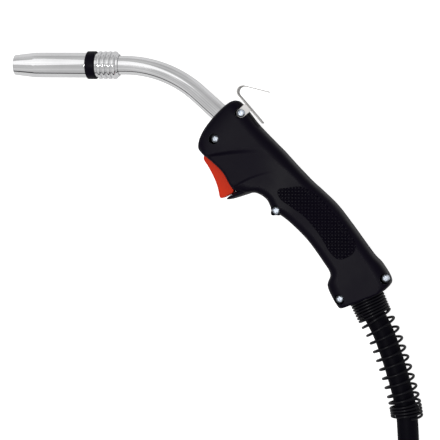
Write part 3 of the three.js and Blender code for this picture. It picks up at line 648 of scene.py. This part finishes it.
def add_hook(steel):
    """A strip bent along a path, half its thickness to each side, with its ear joined on."""
    vertex, end, thick, bend = np.array([7.6, 130.9]), np.array([46.8, 120.9]), 1.0, 5.4
    away = unit(end - vertex)
    half = np.arccos(-HOOK_RUN @ away) / 2
    centre = vertex + unit(away - HOOK_RUN) * bend / np.sin(half)
    start = np.arctan2(HOOK_RUN[0], -HOOK_RUN[1])
    angle = start - np.linspace(0, np.pi - 2 * half, 24)
    arc = centre + bend * np.stack([np.cos(angle), np.sin(angle)], -1)
    path = resampled(np.concatenate([[HOOK_FROM], arc, [end]]), 120)
    run = unit(np.gradient(path, axis=0))
    normal = np.stack([-run[:, 1], run[:, 0]], -1)
    outline = np.concatenate([path + normal * thick / 2, (path - normal * thick / 2)[::-1]])
    hook = slab("strip_hook", outline, -7, 7, edge=0.3, steps=3)
    reach = float(np.dot(HOOK_FROM - SCREWS[0], HOOK_OUT))
    near, far = reach - thick / 2, reach + thick / 2
    boolean(hook, tongue(EAR_HALF, far, EAR_LOW, EAR_HIGH), "UNION")
    upright = np.array([[near, -EAR_HALF], [far, -EAR_HALF], [far, EAR_HALF], [near, EAR_HALF]])
    boolean(hook, slab("tool", on_ear(upright), 0, EAR_HIGH), "UNION")
    boolean(hook, disc(*SCREWS[0], 2.0, 0, 20), "DIFFERENCE")
    finish_piece(hook, "torch", "hook_steel", steel, "hanging_hook")


def add_trigger(orange):
    """The lever's outline, its front edge a long double curve, raised and rolled over at its rims."""
    front = spline([[-14.2, 60.8], [-14.5, 58.3], [-13.4, 55.7], [-10.6, 51.6], [-7.2, 45.7],
                    [-3.8, 38.8], [-1.4, 32.3], [-0.5, 29]], 60)
    toe = rounded([[-0.5, 29], [1.3, 19.9], [14.9, 26.6], [13.2, 33]], 3.6, 8)[1:]
    heel = np.array([[7.8, 42], [0, 54], [-1.9, 65]])
    turn = np.linspace(0, 0.75 * np.pi, 14)
    hub = PIVOT[:2] + 4 * np.stack([np.cos(turn), np.sin(turn)], -1)
    outline = np.concatenate([front, toe, heel, hub, [[-12, 63.4], front[0]]])
    lever = slab("trigger_lever", resampled(outline, 260)[:-1], -TRIGGER_HALF, TRIGGER_HALF,
                 edge=0.8, steps=7)
    finish_piece(lever, "trigger", "trigger_plastic", orange, "trigger")


def add_strain_relief(coated):
    """A coil spring round the cable, its turns close in the handle and at its far end, open between."""
    axis = spline(LEAD_IN[:10], 400) + ABOVE_FLOOR
    total = length_of(axis)
    zones = np.array([[9.5, 2.75], [8.6, 9.1], [1.6, 6.2], [4, 2.75]])      # turns and pitch
    turns = zones[:, 0].sum()
    turn = np.linspace(0, turns, int(turns * 36))
    steps = np.stack([zones[:, 0], zones[:, 0] * zones[:, 1]])
    along = np.interp(turn, *np.concatenate([np.zeros((2, 1)), np.cumsum(steps, axis=1)], axis=1))
    at = along / total * (len(axis) - 1)
    index = np.arange(len(axis))
    centre = read_off(axis, index, at)
    side, up = (unit(read_off(rows, index, at)) for rows in frames_along(axis))
    angle = 2 * np.pi * turn[:, None]
    out = np.cos(angle) * side - np.sin(angle) * up
    radius = SPRING_END_R + (SPRING_R - SPRING_END_R) * (1 - along / along[-1]) ** 2
    wire = centre + (radius - SPRING_WIRE_R)[:, None] * out
    run = unit(np.gradient(wire, axis=0))
    over = unit(np.cross(run, out))
    ring = np.linspace(0, 2 * np.pi, 12, endpoint=False)[None, :, None]
    grid = wire[:, None] + SPRING_WIRE_R * (np.cos(ring) * out[:, None] + np.sin(ring) * over[:, None])
    spring = lofted("bend_spring", grid)
    finish_piece(spring, "torch", "spring_coating", coated, "strain_relief_spring")


# ---- materials -----------------------------------------------------------------------------------
def node_group(name, inputs, outputs):
    """An empty shader group with the given sockets, its input node and its output node."""
    tree = bpy.data.node_groups.new(name, "ShaderNodeTree")
    for label, kind, value in inputs:
        made = tree.interface.new_socket(label, in_out="INPUT", socket_type=kind)
        if value is not None:
            made.default_value = value
    for label, kind in outputs:
        tree.interface.new_socket(label, in_out="OUTPUT", socket_type=kind)
    return tree, tree.nodes.new("NodeGroupInput"), tree.nodes.new("NodeGroupOutput")


def make_grain():
    """Fine moulding or casting grain: Height to bump, and Patches, a slow mask for gloss and tone."""
    tree, given, result = node_group("grain", [
        ("Vector", "NodeSocketVector", None), ("Fine", "NodeSocketFloat", 900.0),
        ("Slow", "NodeSocketFloat", 18.0)], [("Height", "NodeSocketFloat"), ("Patches", "NodeSocketFloat")])
    for label, detail, output in (("Fine", 2.0, "Height"), ("Slow", 5.0, "Patches")):
        noise = tree.nodes.new("ShaderNodeTexNoise")
        noise.inputs["Detail"].default_value = detail
        tree.links.new(given.outputs["Vector"], noise.inputs["Vector"])
        tree.links.new(given.outputs[label], noise.inputs["Scale"])
        tree.links.new(noise.outputs["Fac"], result.inputs[output])
    return tree


def make_blend():
    """A value and a colour that swing between two given ones with a mask."""
    tree, given, result = node_group("swing", [
        ("Mask", "NodeSocketFloat", 0.5), ("Low", "NodeSocketFloat", 0.3), ("High", "NodeSocketFloat", 0.5),
        ("Dark", "NodeSocketColor", None), ("Light", "NodeSocketColor", None)],
        [("Value", "NodeSocketFloat"), ("Colour", "NodeSocketColor")])
    steep = tree.nodes.new("ShaderNodeMapRange")
    steep.inputs["From Min"].default_value = 0.35
    steep.inputs["From Max"].default_value = 0.65
    tree.links.new(given.outputs["Mask"], steep.inputs["Value"])
    span = tree.nodes.new("ShaderNodeMix")
    span.data_type = "FLOAT"
    tree.links.new(steep.outputs["Result"], span.inputs[0])
    tree.links.new(given.outputs["Low"], span.inputs[2])
    tree.links.new(given.outputs["High"], span.inputs[3])
    tint = tree.nodes.new("ShaderNodeMix")
    tint.data_type = "RGBA"
    tree.links.new(steep.outputs["Result"], tint.inputs[0])
    tree.links.new(given.outputs["Dark"], tint.inputs[6])
    tree.links.new(given.outputs["Light"], tint.inputs[7])
    tree.links.new(span.outputs[0], result.inputs["Value"])
    tree.links.new(tint.outputs[2], result.inputs["Colour"])
    return tree


GRAIN = make_grain()
SWING = make_blend()


def finish_material(name, dark, light, rough, metallic=0.0, fine=900.0, slow=18.0, bump=0.1,
                    stretch=(1, 1, 1), specular=0.5, coat=0.0, coat_rough=0.1):
    """A surface whose tone and gloss drift slowly over it, under a fine grain."""
    made = bpy.data.materials.new(name)
    made.use_nodes = True
    tree = made.node_tree
    shader = tree.nodes["Principled BSDF"]
    shader.inputs["Metallic"].default_value = metallic
    shader.inputs["Specular IOR Level"].default_value = specular
    shader.inputs["Coat Weight"].default_value = coat
    shader.inputs["Coat Roughness"].default_value = coat_rough
    where = tree.nodes.new("ShaderNodeTexCoord")
    mapping = tree.nodes.new("ShaderNodeMapping")
    mapping.inputs["Scale"].default_value = stretch
    tree.links.new(where.outputs["Object"], mapping.inputs["Vector"])
    grain = tree.nodes.new("ShaderNodeGroup")
    grain.node_tree = GRAIN
    grain.inputs["Fine"].default_value = fine
    grain.inputs["Slow"].default_value = slow
    tree.links.new(mapping.outputs["Vector"], grain.inputs["Vector"])
    swing = tree.nodes.new("ShaderNodeGroup")
    swing.node_tree = SWING
    swing.inputs["Low"].default_value, swing.inputs["High"].default_value = rough
    swing.inputs["Dark"].default_value = (*dark, 1)
    swing.inputs["Light"].default_value = (*light, 1)
    tree.links.new(grain.outputs["Patches"], swing.inputs["Mask"])
    tree.links.new(swing.outputs["Colour"], shader.inputs["Base Color"])
    tree.links.new(swing.outputs["Value"], shader.inputs["Roughness"])
    relief = tree.nodes.new("ShaderNodeBump")
    relief.inputs["Strength"].default_value = bump
    relief.inputs["Distance"].default_value = 0.0002
    tree.links.new(grain.outputs["Height"], relief.inputs["Height"])
    tree.links.new(relief.outputs["Normal"], shader.inputs["Normal"])
    return made


def make_materials():
    """Every slot's material: its dark and light tones, and its lowest and highest roughness."""
    return {
        "black_plastic": finish_material("black_plastic", (0.0016, 0.0008, 0.0044), (0.0026, 0.0014, 0.0060),
                                         (0.38, 0.48), fine=1400, slow=22, bump=0.2, specular=0.065),
        "trigger_plastic": finish_material("trigger_plastic", (0.57, 0.026, 0.006), (0.62, 0.032, 0.008),
                                           (0.40, 0.50), fine=1200, slow=40, bump=0.1, specular=0.06),
        "chrome": finish_material("chrome", (0.76, 0.76, 0.77), (0.86, 0.86, 0.87), (0.04, 0.12),
                                  metallic=1.0, fine=600, slow=25, bump=0.02, stretch=(1, 1.4, 1.4)),
        "hook_steel": finish_material("hook_steel", (0.47, 0.46, 0.45), (0.55, 0.54, 0.53), (0.52, 0.62),
                                      metallic=1.0, fine=900, slow=60, bump=0.06),
        "screw_steel": finish_material("screw_steel", (0.60, 0.65, 0.72), (0.72, 0.77, 0.84), (0.48, 0.6),
                                       metallic=1.0, fine=1500, slow=120, bump=0.06),
        "brass": finish_material("brass", (0.58, 0.40, 0.15), (0.68, 0.49, 0.21), (0.2, 0.36),
                                 metallic=1.0, fine=800, slow=40, bump=0.06),
        "copper": finish_material("copper", (0.56, 0.22, 0.11), (0.68, 0.30, 0.17), (0.22, 0.38),
                                  metallic=1.0, fine=800, slow=50, bump=0.06),
        "white_nylon": finish_material("white_nylon", (0.66, 0.64, 0.58), (0.74, 0.72, 0.66), (0.4, 0.5),
                                       fine=700, slow=30, bump=0.06),
        "cable_rubber": finish_material("cable_rubber", (0.0010, 0.0008, 0.0028), (0.0018, 0.0014, 0.0040),
                                        (0.42, 0.55), fine=900, slow=14, bump=0.16, specular=0.05),
        "spring_coating": finish_material("spring_coating", (0.0010, 0.0008, 0.0026),
                                          (0.0018, 0.0014, 0.0040), (0.26, 0.36), fine=700, slow=30,
                                          bump=0.1, specular=0.14),
        "tie_strap": finish_material("tie_strap", (0.008, 0.008, 0.010), (0.018, 0.018, 0.021), (0.7, 0.9),
                                     fine=1500, slow=300, bump=0.8, specular=0.2),
    }


# ---- studio --------------------------------------------------------------------------------------
# Places and grey levels: the tent's stripes from -Y to +Y, and its dark gap by height.
STRIPES = [(0.0, 0.58), (0.04, 0.66), (0.07, 0.50), (0.11, 0.62), (0.20, 0.72), (0.27, 0.50),
           (0.33, 0.68), (0.40, 0.46), (0.45, 0.60), (0.50, 0.70), (0.54, 0.48), (0.60, 0.56),
           (0.65, 0.72), (0.70, 0.52), (0.76, 0.60), (0.85, 0.46), (0.93, 0.62), (1.0, 0.46)]
GAP_LEVELS = [(0.0, 1.0), (0.02, 1.0), (0.04, 0.04), (0.19, 0.04), (0.24, 1.0), (1.0, 1.0)]
FLOOR_REACH, FLOOR_DROP = 6.0, 0.0002          # metres
FLOOR_TONE, FLOOR_GLOW, GLOSSY_SHARE = 0.62, 0.85, 0.15
# Name, place, power in watts and size in metres; each lamp looks at the frame's origin.
LAMPS = [("key", (-0.19, -0.10, 2.0), 12, 0.3), ("fill", (-0.9, 0.9, 1.7), 5, 1.7)]


def ramp_node(tree, stops, source):
    """A colour ramp of grey levels over a value."""
    ramp = tree.nodes.new("ShaderNodeValToRGB")
    while len(ramp.color_ramp.elements) < len(stops):
        ramp.color_ramp.elements.new(0.5)
    for element, (position, level) in zip(ramp.color_ramp.elements, stops):
        element.position = position
        element.color = (level, level, level, 1)
    tree.links.new(source, ramp.inputs["Fac"])
    return ramp


def add_world(scene):
    """An even tent in soft stripes across Y, with a dark gap low down on its near side."""
    world = bpy.data.worlds.new("studio")
    scene.world = world
    world.use_nodes = True
    tree = world.node_tree
    where = tree.nodes.new("ShaderNodeTexCoord")
    split = tree.nodes.new("ShaderNodeSeparateXYZ")
    tree.links.new(where.outputs["Generated"], split.inputs["Vector"])

    def share_of_y(low, high):
        span = tree.nodes.new("ShaderNodeMapRange")
        span.inputs["From Min"].default_value = low
        span.inputs["From Max"].default_value = high
        tree.links.new(split.outputs["Y"], span.inputs["Value"])
        return span.outputs["Result"]

    stripes = ramp_node(tree, STRIPES, share_of_y(-1, 1))
    gap = ramp_node(tree, GAP_LEVELS, split.outputs["Z"])
    tent = tree.nodes.new("ShaderNodeMix")
    tent.data_type = "RGBA"
    tent.blend_type = "MULTIPLY"
    tree.links.new(share_of_y(-0.3, -0.6), tent.inputs[0])
    tree.links.new(stripes.outputs["Color"], tent.inputs[6])
    tree.links.new(gap.outputs["Color"], tent.inputs[7])
    tree.links.new(tent.outputs[2], tree.nodes["Background"].inputs["Color"])


def add_floor(scene):
    """A pale floor that keeps its shadows; to the camera and through glass it also glows up to white."""
    mesh = bpy.data.meshes.new("floor")
    corners = [(x * FLOOR_REACH, y * FLOOR_REACH, 0) for x, y in ((-1, -1), (1, -1), (1, 1), (-1, 1))]
    mesh.from_pydata(corners, [], [(0, 1, 2, 3)])
    floor = bpy.data.objects.new("floor", mesh)
    floor.location.z = -FLOOR_DROP
    scene.collection.objects.link(floor)
    white = bpy.data.materials.new("floor_white")
    white.use_nodes = True
    nodes, links = white.node_tree.nodes, white.node_tree.links
    shader = nodes["Principled BSDF"]
    shader.inputs["Base Color"].default_value = (FLOOR_TONE, FLOOR_TONE, FLOOR_TONE, 1)
    shader.inputs["Roughness"].default_value = 0.9
    paths = nodes.new("ShaderNodeLightPath")
    direct = nodes.new("ShaderNodeMath")
    direct.operation = "MAXIMUM"
    links.new(paths.outputs["Is Camera Ray"], direct.inputs[0])
    links.new(paths.outputs["Is Transmission Ray"], direct.inputs[1])
    glow = nodes.new("ShaderNodeMath")
    glow.operation = "MULTIPLY_ADD"
    glow.inputs[1].default_value = GLOSSY_SHARE
    links.new(paths.outputs["Is Glossy Ray"], glow.inputs[0])
    links.new(direct.outputs[0], glow.inputs[2])
    lit = nodes.new("ShaderNodeEmission")
    lit.inputs["Color"].default_value = (FLOOR_GLOW, FLOOR_GLOW, FLOOR_GLOW, 1)
    links.new(glow.outputs[0], lit.inputs["Strength"])
    both = nodes.new("ShaderNodeAddShader")
    links.new(shader.outputs["BSDF"], both.inputs[0])
    links.new(lit.outputs["Emission"], both.inputs[1])
    links.new(both.outputs["Shader"], nodes["Material Output"].inputs["Surface"])
    mesh.materials.append(white)


def add_lamps(scene):
    """Square area lamps."""
    for name, place, power, size in LAMPS:
        lamp = bpy.data.objects.new(name, bpy.data.lights.new(name, "AREA"))
        lamp.data.energy = power
        lamp.data.size = size
        lamp.location = place
        lamp.rotation_euler = (-Vector(place)).to_track_quat("-Z", "Y").to_euler()
        scene.collection.objects.link(lamp)


def add_studio():
    """World, floor and lamps, shown without any colour grading."""
    scene = bpy.context.scene
    scene.view_settings.view_transform = "Standard"
    add_world(scene)
    add_floor(scene)
    add_lamps(scene)


def main():
    """Camera and cable first, then the torch from front to back, then the studio round it."""
    add_camera()
    look = make_materials()
    add_cable(look["cable_rubber"], look["tie_strap"], look["black_plastic"], look["brass"])
    add_front_end(look["chrome"], look["black_plastic"], look["copper"])
    add_neck(look["chrome"])
    add_shell(1, "left_shell", "handle_left_shell", look["black_plastic"])
    add_shell(-1, "right_shell", "handle_right_shell", look["black_plastic"])
    add_grip(1, "left_grip", look["black_plastic"])
    add_grip(-1, "right_grip", look["black_plastic"])
    add_screws(look["screw_steel"])
    add_hook(look["hook_steel"])
    add_trigger(look["trigger_plastic"])
    add_strain_relief(look["spring_coating"])
    dress_frame(look)
    add_studio()


def dress_frame(look):
    """Gives the nodes that no piece stands for the material of their own slot."""
    slots = {part["node"]: part["material_slot"] for part in frame["record"]["subparts"]}
    for node, piece in frame["nodes"].items():
        if not piece.hide_render:
            piece.data.materials.clear()
            piece.data.materials.append(look[slots[node]])


main()
